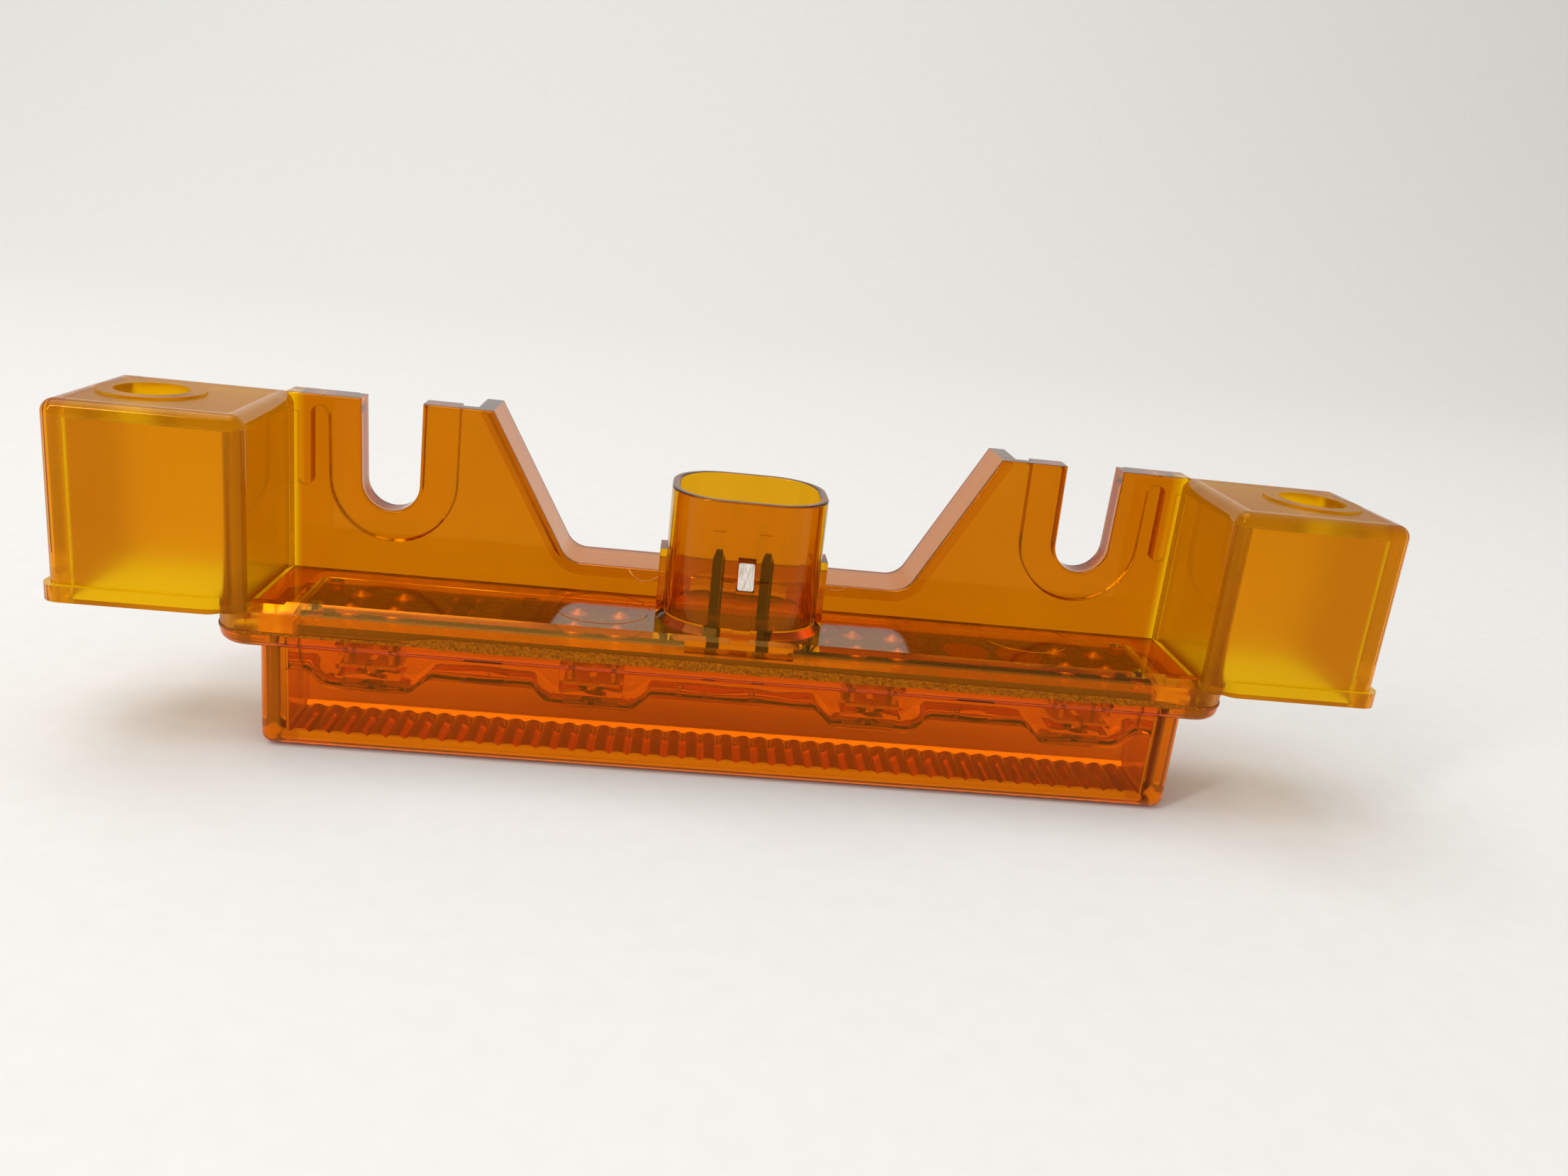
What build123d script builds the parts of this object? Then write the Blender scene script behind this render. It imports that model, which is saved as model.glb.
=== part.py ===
"""Sealed amber LED warning lamp: a moulded housing with two hollow end boxes, two open screw
slots, a notched back plate and a plug shroud, closed from below by a welded lens that holds a
circuit board, four square LEDs and a clear potting compound.

Millimetres, +Z up. The lens looks down and its outer face lies in Z = 0. X runs along the lamp,
Y runs from the lens's front wall to the back plate, and the origin is the lens face's centre.
"""
import math
import os

from build123d import *

os.makedirs("parts", exist_ok=True)

# ---- overall ----
lamp_half_length = 77.0        # middle to the outer side of an end box
lamp_top_z = 39.0              # top of the end boxes and of the back plate

# ---- named clearances ----
insert_gap = 0.05              # round a piece that plastic is moulded or poured about
board_gap = 0.3                # between the board's edge and the housing's inner wall
hole_gap = 0.12                # round a lead in its hole in the board
weld_gap = 0.04                # left between the two rims inside the weld bead
seat_gap = 0.03                # between the board's face and what stands on or over it

# ---- lens ----
lens_half_length = 55.0
lens_half_depth = 6.0
lens_wall = 1.9
lens_end_wall = 2.7
lens_floor = 1.5
lens_edge_radius = 1.3
lens_corner_radius = 1.4
lens_inner_radius = 0.6
lens_rim_thickness = 1.9
lens_rim_edge_radius = 1.3
flute_pitch = 2.2              # rows of light-spreading flutes on the lens floor
flute_height = 0.45
flute_root = 0.5               # how deep a flute is rooted in the floor
flute_end_bite = 0.2           # how far a flute runs into the front wall
flute_rear_gutter = 0.7        # flat strip of floor left along the rear wall

# ---- flange shared by the housing and the lens ----
flange_half_length = 60.0
flange_front_y = -7.0
flange_corner_radius = 4.0
weld_z = 14.25                 # plane where the lens is welded to the housing
deck_z = 17.1                  # low level of the housing's deck
plateau_rise = 0.7             # raised window above the board
plateau_half_length = 52.3
plateau_rear_y = 7.4
plateau_corner_radius = 2.5
plateau_draft = 30             # degrees
front_slope_rise = 1.1         # sloping facet along the deck's front edge
front_slope_run = 1.4
front_rib_half_length = 56.0
front_rib_width = 1.7
plateau_wall = 1.5             # plastic left above the board's space
space_corner_radius = 1.0
space_slope = 0.9              # facet inside the front edge, parallel to the outer one
mark_radius = 5.85             # round ejector marks left in the window
mark_width = 0.25
mark_depth = 0.08
mark_spots = ((-16.6, 1.6), (36.5, 4.2))

# ---- weld bead ----
bead_width = 1.0
bead_height = 0.4
bead_proud = 0.12

# ---- back plate ----
plate_front_y = 10.4
plate_thickness = 2.0
plate_round = 0.45             # along the edges of the plate's openings and ribs
pad_thickness = 4.0            # plate and pad together at the screw slots
slot_x = 44.2
slot_radius = 3.5
slot_mouth_half_width = 3.8
slot_bottom_z = 25.2
pad_border = 4.3
top_band_height = 1.6
finger_rib_width = 1.6
finger_rib_length = 11.0

# ---- notch in the back plate ----
notch_floor_z = 20.5
notch_floor_half_width = 21.9
notch_top_half_width = 32.0
notch_corner_radius = 3.0
notch_rib_thickness = 1.8
notch_rib_depth = 9.0          # from the plate's front face backwards

# ---- end boxes ----
box_inner_x = 55.8             # side that faces the slots
box_front_y = -8.0
box_floor_z = 16.6
box_wall = 2.0
box_edge_radius = 1.5
box_lip_height = 1.9
box_lip_proud = 0.7
box_hole_x = 69.0
box_hole_radius = 4.0
box_ring_radius = 5.8
box_ring_height = 0.3

# ---- plug shroud ----
shroud_y = 3.5
shroud_half_width = 9.4
shroud_half_depth = 8.3
shroud_corner_radius = 6.6
shroud_wall = 1.0
shroud_rim_round = 0.3
shroud_top_z = 34.0
shroud_floor_z = 18.6
shroud_foot = 0.8              # flare where the shroud meets the deck
side_key_width = 4.0
side_key_proud = 0.8
side_key_top_z = 26.0
inner_key_width = 1.7
inner_key_depth = 0.7
inner_key_top_z = 26.5
latch_half_width = 1.05
latch_proud = 1.8
latch_top_z = 27.5
latch_catch_z = 23.9
guide_half_width = 2.8
guide_proud = 0.8
guide_top_z = 24.6
front_recess_half_width = 6.4
front_recess_height = 1.8
front_recess_depth = 0.8

# ---- terminals ----
terminal_pitch = 6.0
blade_width = 1.5
blade_thickness = 0.8
blade_tip_z = 26.0
blade_taper = 1.2
jog_height = 0.8               # the bend moulded into the shroud's floor
jog_cover = 0.4                # plastic over the bend
tail_y = 1.0
tail_below_board = 1.0

# ---- circuit board ----
board_half_length = 50.9
board_front_y = -5.4
board_rear_y = 6.2
board_thickness = 1.0
board_over_weld = 0.1
board_corner_radius = 0.8
pip_radius = 0.8
pip_x = 49.0
pip_inset = 1.4                # from the board's front and rear edges
copper_thickness = 0.07
disc_radius = 2.9
disc_y = 0.4
disc_xs = (28.5, 35.2)

# ---- LEDs ----
led_xs = (-43.0, -17.0, 17.0, 43.0)
led_side = 7.6
led_height = 4.0
led_face_z = 8.7
led_corner_radius = 0.5
lead_pitch = 5.08
lead_side = 0.5
lead_over_board = 0.45
frame_thickness = 0.4
frame_gap = 0.8
frame_inset = 0.5              # from the package's sides
frame_cover = 2.4              # epoxy over the frame, on the board's side
cup_radius = 1.7
cup_floor_radius = 0.77
cup_wall = 0.2
cup_depth = 0.9
chip_side = 0.9
chip_height = 0.25
solder_radius = 0.95
solder_height = 0.6
solder_tip_share = 0.35        # tip radius of a joint as a share of its foot
tail_solder_radius = 1.3
tail_solder_tip = 0.6
tail_solder_height = 0.8

# ---- potting compound ----
potting_z = 9.9                # surface between the LEDs
potting_led_z = 7.9            # surface drawn down round an LED
potting_slope = 3.2
potting_led_margin = 0.6
potting_round = 1.6

# ---- chips on the board ----
resistor_size = (3.2, 1.6, 0.55)
resistor_spots = ((-33.0, 2.6), (-33.0, -1.6), (9.5, 2.6), (9.5, -1.6))
capacitor_size = (2.0, 1.25, 0.8)
capacitor_spots = ((-9.5, 4.3), (-25.6, 4.3))
cap_share = 0.18               # metal end as a share of a chip's length
driver_size = (5.0, 4.0, 0.75)
driver_spot = (-25.6, -0.4)
diode_size = (4.3, 2.6, 1.1)   # below the board, in the compound
diode_standoff = 0.15
diode_leg_length = 0.5
diode_leg_width = 1.5
diode_x = -30.0
suppressor_x = 30.0

# ---- sizes that follow ----
plateau_z = deck_z + plateau_rise
space_top_z = plateau_z - plateau_wall
board_low_z = weld_z + board_over_weld
board_top_z = board_low_z + board_thickness
plate_rear_y = plate_front_y + plate_thickness
pad_rear_y = plate_front_y + pad_thickness
lens_rim_low_z = weld_z - lens_rim_thickness
slot_centre_z = slot_bottom_z + slot_radius
lens_inner_half_length = lens_half_length - lens_end_wall
lens_inner_half_depth = lens_half_depth - lens_wall
pocket_x = (slot_x + slot_mouth_half_width + pad_border + box_inner_x - finger_rib_width) / 2
pocket_radius = (box_inner_x - finger_rib_width - slot_x - slot_mouth_half_width - pad_border) / 2
pocket_top_z = lamp_top_z - top_band_height
box_centre_y = (box_front_y + plate_rear_y) / 2
overshoot = 6.0                # how far a cut runs past the face it opens
bite = 1.0                     # how far one wall is sunk into the next so that they are one solid
near = 0.01                    # how near an edge's middle must be to count as lying there


def block(x0, x1, y0, y1, z0, z1):
    """Box between two corners, given in any order."""
    size = Box(abs(x1 - x0), abs(y1 - y0), abs(z1 - z0))
    return Pos((x0 + x1) / 2, (y0 + y1) / 2, (z0 + z1) / 2) * size


def pillar(x, y, z0, z1, radius):
    """Upright cylinder between two heights."""
    return Pos(x, y, (z0 + z1) / 2) * Cylinder(radius, z1 - z0)


def through_y(face, y0, y1):
    """Extrude a face, drawn as (X, Z), from y0 to y1."""
    plane = Plane(origin=(0, y1, 0), x_dir=(1, 0, 0), z_dir=(0, -1, 0))
    return extrude(plane * face, y1 - y0)


def rounded_plan(half_length, y0, y1, radius):
    """Rounded rectangle in the XY plane, centred on X = 0."""
    return Pos(0, (y0 + y1) / 2) * RectangleRounded(2 * half_length, y1 - y0, radius)


def slab(face, z0, z1):
    """Extrude a plan face between two heights."""
    return extrude(Pos(0, 0, z0) * face, z1 - z0)


def slot_face(x, grow):
    """U-shaped screw slot, open at the top, its outline moved outwards by grow."""
    low = slot_radius + grow
    top = slot_mouth_half_width + grow
    top_z = lamp_top_z + overshoot
    floor = ThreePointArc((x - low, slot_centre_z), (x, slot_centre_z - low), (x + low, slot_centre_z))
    sides = Polyline((x + low, slot_centre_z), (x + top, top_z), (x - top, top_z), (x - low, slot_centre_z))
    return make_face([floor, sides])


def notch_face(grow):
    """Notch with sloping sides and rounded floor corners, its outline moved outwards by grow."""
    lean = (notch_top_half_width - notch_floor_half_width) / (lamp_top_z - notch_floor_z)
    shift = grow * math.hypot(1, lean) - grow * lean
    low_x = notch_floor_half_width + shift
    low_z = notch_floor_z - grow
    top_z = lamp_top_z + overshoot
    top_x = low_x + lean * (top_z - low_z)
    outline = Polyline((-low_x, low_z), (low_x, low_z), (top_x, top_z), (-top_x, top_z), close=True)
    face = make_face(outline)
    corners = face.vertices().filter_by(lambda v: v.Y < low_z + near)
    return fillet(corners, notch_corner_radius + grow)


def both_sides(shape):
    """A shape and its mirror image across the lamp's middle."""
    return [shape, mirror(shape, about=Plane.YZ)]


# ---- housing ----
def box_outside():
    """Right-hand end box without its hollow, with the lip round its mouth."""
    body = block(box_inner_x, lamp_half_length, box_front_y, plate_rear_y, box_floor_z, lamp_top_z)
    rounded = body.edges().filter_by(lambda e: e.center().Z > box_floor_z + 0.1)
    body = fillet(rounded, box_edge_radius)
    lip_z = box_floor_z + box_lip_height
    lip = block(box_inner_x + box_wall, lamp_half_length + box_lip_proud,
                box_front_y - box_lip_proud, plate_rear_y, box_floor_z, lip_z)
    lip = fillet(lip.edges().filter_by(Axis.Z).sort_by(Axis.Y)[:2], box_edge_radius + box_lip_proud)
    ring = pillar(box_hole_x, box_centre_y, lamp_top_z - box_wall, lamp_top_z + box_ring_height,
                  box_ring_radius)
    return body + lip + ring


def box_hollow():
    """Space inside the right-hand end box, open downwards, and the hole in its top."""
    room = block(box_inner_x + box_wall, lamp_half_length - box_wall, box_front_y + box_wall,
                 plate_rear_y - box_wall, box_floor_z - overshoot, lamp_top_z - box_wall)
    uprights = room.edges().filter_by(Axis.Z)
    room = fillet(uprights, box_edge_radius / 2)
    hole = pillar(box_hole_x, box_centre_y, lamp_top_z - box_wall - bite, lamp_top_z + overshoot, box_hole_radius)
    return room + hole


def soften(solid, y):
    """Round the edges of a plate's openings where they meet the face at this y."""
    low_z = notch_floor_z - 2 * notch_rib_thickness
    edges = solid.edges().filter_by(lambda e: abs(e.center().Y - y) < near
                                    and abs(e.center().X) < box_inner_x and e.center().Z > low_z)
    return fillet(edges, plate_round)


def sheet_face():
    """Outline of the back plate between the end boxes, drawn as (X, Z)."""
    return Pos(0, (weld_z + weld_gap + lamp_top_z) / 2) * Rectangle(
        2 * (box_inner_x + bite), lamp_top_z - weld_z - weld_gap)


def beside_slot():
    """Band and finger rib beside a box, with the arched pocket that they leave by the pad."""
    mid_y = (plate_front_y + pad_rear_y) / 2
    band_low_z = pocket_top_z - pocket_radius
    band = block(slot_x + slot_mouth_half_width + bite, box_inner_x + bite, plate_front_y + bite, pad_rear_y,
                 band_low_z, lamp_top_z)
    pocket = block(pocket_x - pocket_radius, pocket_x + pocket_radius, plate_rear_y, pad_rear_y + bite,
                   band_low_z - bite, band_low_z)
    arch = Pos(pocket_x, pad_rear_y, band_low_z) * Rot(90, 0, 0) * Cylinder(pocket_radius, 2 * plate_thickness)
    finger_x = box_inner_x - finger_rib_width / 2
    finger_low_z = lamp_top_z - finger_rib_length
    finger = block(finger_x - finger_rib_width / 2, box_inner_x, plate_front_y + bite,
                   pad_rear_y, finger_low_z, lamp_top_z)
    tip = Pos(finger_x, mid_y + bite / 2, finger_low_z) * Rot(90, 0, 0)
    tip = tip * Cylinder(finger_rib_width / 2, pad_thickness - bite)
    return band - pocket - arch + finger + tip


def back_plate():
    """Plate with its notch and slots, the slots' pads and the rib that follows the notch."""
    mid_y = plate_front_y + plate_thickness / 2
    openings = notch_face(0)
    for side in (-slot_x, slot_x):
        openings = openings + slot_face(side, 0)
    plate = soften(through_y(sheet_face() - openings, plate_front_y, plate_rear_y), plate_front_y)
    rib = (notch_face(notch_rib_thickness) - notch_face(0)) & sheet_face()
    rib_rear_y = plate_front_y + notch_rib_depth
    plate = plate + soften(through_y(rib, mid_y, rib_rear_y), rib_rear_y)
    half = Pos(slot_x, lamp_top_z / 2) * Rectangle(2 * (box_inner_x - slot_x), lamp_top_z)
    pad = (slot_face(slot_x, pad_border) & half) - slot_face(slot_x, 0)
    pad = soften(through_y(pad, mid_y, pad_rear_y), pad_rear_y)
    for piece in (pad, beside_slot()):
        for side in both_sides(piece):
            plate = plate + side
    return plate


def front_slope():
    """Wedge that cuts the sloping facet along the deck's front edge."""
    low = (flange_front_y, plateau_z - front_slope_rise)
    high = (flange_front_y + front_slope_run, plateau_z)
    outline = Polyline(low, high, (high[0], high[1] + bite), (low[0] - bite, high[1] + bite),
                       (low[0] - bite, low[1]), close=True)
    side_plane = Plane(origin=(-flange_half_length, 0, 0), x_dir=(0, 1, 0), z_dir=(1, 0, 0))
    return extrude(side_plane * make_face(outline), 2 * flange_half_length)


def deck():
    """Flange rim with the raised window above the board and the rib along its front edge."""
    plan = rounded_plan(flange_half_length, flange_front_y, plate_rear_y, flange_corner_radius)
    base = slab(plan, weld_z + weld_gap, deck_z)
    window_plan = rounded_plan(plateau_half_length, flange_front_y, plateau_rear_y, plateau_corner_radius)
    window = extrude(Pos(0, 0, deck_z) * window_plan, plateau_rise, taper=plateau_draft)
    front = block(-front_rib_half_length, front_rib_half_length, flange_front_y,
                  flange_front_y + front_rib_width, deck_z, plateau_z)
    whole = base + window + front - front_slope()
    for spot in mark_spots:
        ring = pillar(*spot, plateau_z - mark_depth, plateau_z + bite, mark_radius)
        core = pillar(*spot, plateau_z - bite, plateau_z + bite, mark_radius - mark_width)
        whole = whole - (ring - core)
    return whole


def board_space():
    """Hollow under the window that takes the board, with pips left standing on its roof."""
    plan = rounded_plan(board_half_length + board_gap, board_front_y - board_gap,
                        board_rear_y + board_gap, space_corner_radius)
    space = slab(plan, weld_z - bite, space_top_z)
    front_top = space.edges().filter_by(Axis.X).group_by(Axis.Z)[-1].sort_by(Axis.Y)[0]
    space = chamfer(front_top, space_slope)
    for x in (-pip_x, pip_x):
        for y in (board_front_y + pip_inset, board_rear_y - pip_inset):
            space = space - pillar(x, y, board_top_z + seat_gap, space_top_z + bite, pip_radius)
    return space


def shroud_plan(grow):
    """Oval outline of the plug shroud, moved outwards by grow."""
    oval = RectangleRounded(2 * (shroud_half_width + grow), 2 * (shroud_half_depth + grow),
                            shroud_corner_radius + grow)
    return Pos(0, shroud_y) * oval


def shroud_outside():
    """Shroud wall with its foot, side keys, guides and the ramp that the plug's latch rides up."""
    body = slab(shroud_plan(0), space_top_z, shroud_top_z)
    foot = loft([Pos(0, 0, plateau_z) * shroud_plan(shroud_foot),
                 Pos(0, 0, plateau_z + shroud_foot) * shroud_plan(0)])
    body = body + foot
    front_y = shroud_y - shroud_half_depth
    side_x = shroud_half_width + side_key_proud
    keys = block(-side_x, side_x, shroud_y - side_key_width / 2, shroud_y + side_key_width / 2,
                 space_top_z, side_key_top_z)
    guide = block(-guide_half_width, guide_half_width, front_y - guide_proud, shroud_y,
                  space_top_z, guide_top_z)
    ramp = Polyline((front_y + bite / 2, space_top_z), (front_y - latch_proud, space_top_z),
                    (front_y - latch_proud, latch_catch_z), (front_y, latch_top_z),
                    (front_y + bite / 2, latch_top_z), close=True)
    side_plane = Plane(origin=(-latch_half_width, 0, 0), x_dir=(0, 1, 0), z_dir=(1, 0, 0))
    latch = extrude(side_plane * make_face(ramp), 2 * latch_half_width)
    return body + keys + guide + latch


def shroud_hollow():
    """Inside of the shroud, with the key ribs that the plug straddles left standing."""
    inside = slab(shroud_plan(-shroud_wall), shroud_floor_z, shroud_top_z + overshoot)
    rear_y = shroud_y + shroud_half_depth - shroud_wall
    for x in (-terminal_pitch / 2, terminal_pitch / 2):
        inside = inside - block(x - inner_key_width / 2, x + inner_key_width / 2,
                                rear_y - inner_key_depth, rear_y + bite, shroud_floor_z, inner_key_top_z)
    return inside


def terminal(x, gap=0.0):
    """Flat blade with a tapered tip, a jog moulded into the floor and a tail through the board."""
    half_width = blade_width / 2 + gap
    half_thick = blade_thickness / 2 + gap
    jog_top_z = shroud_floor_z - jog_cover + gap
    jog_low_z = jog_top_z - jog_height - 2 * gap
    tail_low_z = board_low_z - tail_below_board
    blade = block(x - half_width, x + half_width, shroud_y - half_thick, shroud_y + half_thick,
                  jog_low_z, blade_tip_z)
    tip_edges = blade.edges().filter_by(Axis.Y).sort_by(Axis.Z)[-2:]
    blade = chamfer(tip_edges, blade_taper, blade_width / 4)
    jog = block(x - half_width, x + half_width, tail_y - half_thick, shroud_y + half_thick,
                jog_low_z, jog_top_z)
    tail = block(x - half_width, x + half_width, tail_y - half_thick, tail_y + half_thick,
                 tail_low_z, jog_top_z)
    return blade + jog + tail


def bead_ring(gap=0.0):
    """Ring of plastic squeezed out where the lens is welded to the housing's rim."""
    outer = rounded_plan(flange_half_length + bead_proud, flange_front_y - bead_proud,
                         plate_rear_y + bead_proud, flange_corner_radius + bead_proud)
    inner = rounded_plan(flange_half_length - bead_width - gap, flange_front_y + bead_width + gap,
                         plate_rear_y - bead_width - gap, flange_corner_radius - bead_width)
    half = bead_height / 2 + gap
    return slab(outer, weld_z - half, weld_z + half) - slab(inner, weld_z - half, weld_z + half)


def make_housing():
    body = back_plate() + deck() + shroud_outside()
    boxes = box_outside() - box_hollow()
    for side in both_sides(boxes):
        body = body + side
    rear_clear = slab(shroud_plan(0), notch_floor_z, shroud_top_z)
    body = body + rear_clear - shroud_hollow() - board_space()
    recess = block(-front_recess_half_width, front_recess_half_width, flange_front_y - bite,
                   flange_front_y + front_recess_depth, plateau_z - front_recess_height, plateau_z + bite)
    body = body - recess - bead_ring()
    for x in (-terminal_pitch / 2, terminal_pitch / 2):
        body = body - terminal(x, insert_gap)
    rim = body.edges().filter_by(lambda e: abs(e.center().Z - shroud_top_z) < near
                                 and abs(e.center().X) < shroud_half_width + bite)
    return fillet(rim, shroud_rim_round)


# ---- lens ----
def flute_bed():
    """Rows of half-round flutes along Y that stand on the lens floor."""
    count = math.floor(2 * lens_inner_half_length / flute_pitch)
    start = -count * flute_pitch / 2
    bottom_z = lens_floor - flute_root
    arcs = []
    for index in range(count):
        x = start + index * flute_pitch
        arcs.append(ThreePointArc((x, lens_floor), (x + flute_pitch / 2, lens_floor + flute_height),
                                  (x + flute_pitch, lens_floor)))
    base = Polyline((-start, lens_floor), (-start, bottom_z), (start, bottom_z), (start, lens_floor))
    reach = lens_inner_half_depth + flute_end_bite
    return through_y(make_face(arcs + [base]), -reach, lens_inner_half_depth - flute_rear_gutter)


def make_lens():
    """Tray with its welding rim and the flutes on its floor."""
    rim_top_z = weld_z - weld_gap
    tray = block(-lens_half_length, lens_half_length, -lens_half_depth, lens_half_depth, 0, rim_top_z)
    tray = fillet(tray.edges().filter_by(Axis.Z), lens_corner_radius)
    low_edges = tray.edges().filter_by(lambda e: e.center().Z < near)
    tray = fillet(low_edges, lens_edge_radius)
    plan = rounded_plan(flange_half_length, flange_front_y, plate_rear_y, flange_corner_radius)
    rim = slab(plan, lens_rim_low_z, rim_top_z)
    rim = fillet(rim.edges().filter_by(lambda e: e.center().Z < lens_rim_low_z + near), lens_rim_edge_radius)
    hollow = slab(rounded_plan(lens_inner_half_length, -lens_inner_half_depth,
                               lens_inner_half_depth, lens_inner_radius), lens_floor, weld_z + bite)
    return tray + rim - hollow + flute_bed() - bead_ring()


# ---- board ----
def lead_spots(x):
    half = lead_pitch / 2
    return [(x - half, -half), (x + half, -half), (x - half, half), (x + half, half)]


def make_board():
    plan = rounded_plan(board_half_length, board_front_y, board_rear_y, board_corner_radius)
    board = slab(plan, board_low_z, board_top_z)
    hole_radius = lead_side * math.sqrt(0.5) + hole_gap
    for x in led_xs:
        for spot in lead_spots(x):
            board = board - pillar(*spot, board_low_z - bite, board_top_z + bite, hole_radius)
    for x in (-terminal_pitch / 2, terminal_pitch / 2):
        board = board - terminal(x, hole_gap)
    return board


def make_copper_discs():
    return [pillar(x, disc_y, board_top_z, board_top_z + copper_thickness, disc_radius) for x in disc_xs]


# ---- LEDs ----
def led_frame(x):
    """Two stamped plates, each with two leads, parted by a gap down the middle."""
    top_z = led_face_z + led_height - frame_cover
    reach = led_side / 2 - frame_inset
    frame = []
    for sign in (-1, 1):
        near = x + sign * frame_gap / 2
        far = x + sign * reach
        plate = block(near, far, -reach, reach, top_z - frame_thickness, top_z)
        for y in (-lead_pitch / 2, lead_pitch / 2):
            lead_x = x + sign * lead_pitch / 2
            half = lead_side / 2
            plate = plate + block(lead_x - half, lead_x + half, y - half, y + half,
                                  top_z - frame_thickness, board_top_z + lead_over_board)
        frame.append(plate)
    return frame


def led_cup(x):
    """Reflector dish that stands on the frame and looks down through the lens."""
    top_z = led_face_z + led_height - frame_cover - frame_thickness
    dish = Pos(x, 0, top_z - cup_depth / 2) * Cylinder(cup_radius, cup_depth)
    bowl = Pos(x, 0, top_z - cup_wall - cup_depth / 2) * Cone(cup_radius - cup_wall, cup_floor_radius, cup_depth)
    return dish - bowl


def led_chip(x):
    top_z = led_face_z + led_height - frame_cover - frame_thickness - cup_wall
    return block(x - chip_side / 2, x + chip_side / 2, -chip_side / 2, chip_side / 2,
                 top_z - chip_height, top_z)


def led_body(x):
    """Square clear package cast round the frame, the dish and the chip."""
    half = led_side / 2
    body = block(x - half, x + half, -half, half, led_face_z, led_face_z + led_height)
    body = fillet(body.edges().filter_by(Axis.Z), led_corner_radius)
    for piece in led_frame(x) + [led_cup(x), led_chip(x)]:
        body = body - piece
    return body


def solder_cone(spot, low_z, height, radius):
    return Pos(*spot, low_z + height / 2) * Cone(radius, radius * solder_tip_share, height)


def make_led_solder():
    joints = []
    half = lead_side / 2
    for x in led_xs:
        for spot in lead_spots(x):
            lead = block(spot[0] - half, spot[0] + half, spot[1] - half, spot[1] + half,
                         board_low_z, space_top_z)
            joints.append(solder_cone(spot, board_top_z, solder_height, solder_radius) - lead)
    return joints


def make_terminal_solder():
    joints = []
    for x in (-terminal_pitch / 2, terminal_pitch / 2):
        cone = Cone(tail_solder_radius, tail_solder_tip, tail_solder_height)
        cone = Pos(x, tail_y, board_low_z - tail_solder_height / 2) * Rot(180, 0, 0) * cone
        joints.append(cone - terminal(x))
    return joints


# ---- chips ----
def chip(spot, size, low_z):
    """A chip's body and its two metal ends, as three solids that meet face to face."""
    length, width, height = size
    end = length * cap_share
    x, y = spot
    body = block(x - length / 2 + end, x + length / 2 - end, y - width / 2, y + width / 2,
                 low_z, low_z + height)
    ends = []
    for sign in (-1, 1):
        outer = x + sign * length / 2
        ends.append(block(outer, outer - sign * end, y - width / 2, y + width / 2, low_z, low_z + height))
    return body, ends


def underside_diode(x):
    """Moulded diode below the board and the two foil legs that hold it off."""
    length, width, height = diode_size
    body = block(x - length / 2, x + length / 2, -width / 2, width / 2,
                 board_low_z - height, board_low_z - diode_standoff)
    legs = []
    for sign in (-1, 1):
        outer = x + sign * (length / 2 + diode_leg_length)
        leg = block(outer, x + sign * length / 2, -diode_leg_width / 2, diode_leg_width / 2,
                    board_low_z - height / 2, board_low_z)
        legs.append(leg)
    return body, legs


# ---- potting ----
def potting_outline():
    """Lower surface of the compound: level between LEDs and drawn down round each one."""
    reach = lens_inner_half_length - insert_gap
    rise_x = led_side / 2 + potting_led_margin
    top_z = weld_z - insert_gap
    points = [(-reach, top_z), (-reach, potting_z)]
    for x in led_xs:
        points += [(x - rise_x - potting_slope, potting_z), (x - rise_x, potting_led_z),
                   (x + rise_x, potting_led_z), (x + rise_x + potting_slope, potting_z)]
    points += [(reach, potting_z), (reach, top_z)]
    face = make_face(Polyline(*points, close=True))
    waves = face.vertices().filter_by(lambda v: abs(v.X) < reach - 0.1)
    return fillet(waves, potting_round)


def make_potting(inside):
    depth = lens_inner_half_depth - insert_gap
    reach = lens_inner_half_length - insert_gap
    fill = through_y(potting_outline(), -depth, depth)
    fill = fill & slab(rounded_plan(reach, -depth, depth, lens_inner_radius), 0, weld_z)
    for solid in inside:
        fill = fill - solid
    return fill


def save(name, shape):
    """Write one node: a solid, or a group of separate solids."""
    solids = shape if isinstance(shape, list) else [shape]
    pieces = [solid for item in solids for solid in item.solids()]
    whole = pieces[0] if len(pieces) == 1 else Compound(pieces)
    export_step(whole, f"parts/{name}.step")


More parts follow.
